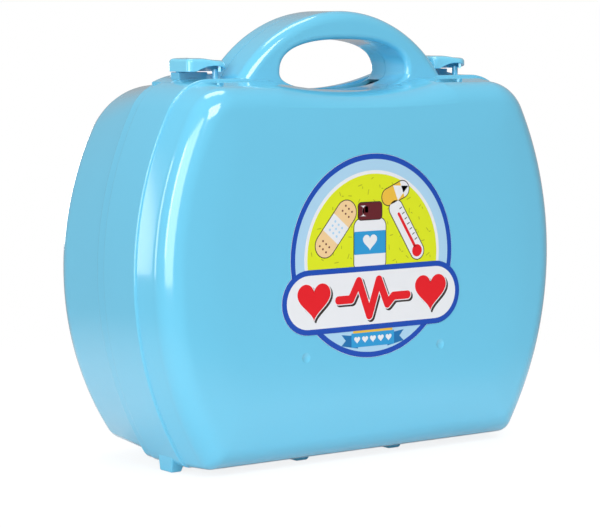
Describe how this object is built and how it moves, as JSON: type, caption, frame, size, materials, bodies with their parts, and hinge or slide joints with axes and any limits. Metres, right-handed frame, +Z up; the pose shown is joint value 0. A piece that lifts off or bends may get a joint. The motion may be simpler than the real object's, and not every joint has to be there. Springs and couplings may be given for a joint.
{
  "type": "toy carry case",
  "caption": "Hinged two-shell toy doctor case with a split carry handle, swivel latches, moulded feet and an instrument tray.",
  "frame": {"origin": "centre of the case's bounding box in plan, on the table under its feet", "axes": "+X along the case's width, to the right as seen from the front; +Y from the front face to the rear face; +Z up, towards the handle"},
  "size_m": [0.2436, 0.1006, 0.216],
  "materials": {
    "blue_shell": "moulded sky blue polypropylene, glossy",
    "blue_latch": "moulded sky blue polypropylene, glossy",
    "steel": "plain zinc plated steel",
    "label": "printed vinyl sheet, semi-gloss",
    "tray": "white moulded polypropylene"
  },
  "bodies": {
    "rear_half": {"rear_shell": "blue_shell", "left_hinge_pin": "steel", "right_hinge_pin": "steel"},
    "front_half": {"front_shell": "blue_shell", "front_label": "label", "instrument_tray": "tray", "tray_screws": "steel"},
    "left_latch_body": {"left_latch": "blue_latch", "left_latch_screw": "steel"},
    "right_latch_body": {"right_latch": "blue_latch", "right_latch_screw": "steel"}
  },
  "joints": [
    {"name": "case_hinge", "type": "hinge", "parent": "rear_half", "child": "front_half", "pos_m": [0, 0, 0.0025], "axis": [1, 0, 0], "range_deg": [0, 180]},
    {"name": "left_latch_swivel", "type": "hinge", "parent": "rear_half", "child": "left_latch_body", "pos_m": [-0.08103, -0.0053, 0.19], "axis": [0, 0, 1], "range_deg": [0, 90]},
    {"name": "right_latch_swivel", "type": "hinge", "parent": "rear_half", "child": "right_latch_body", "pos_m": [0.06653, -0.0053, 0.19], "axis": [0, 0, 1], "range_deg": [0, 90]}
  ]
}
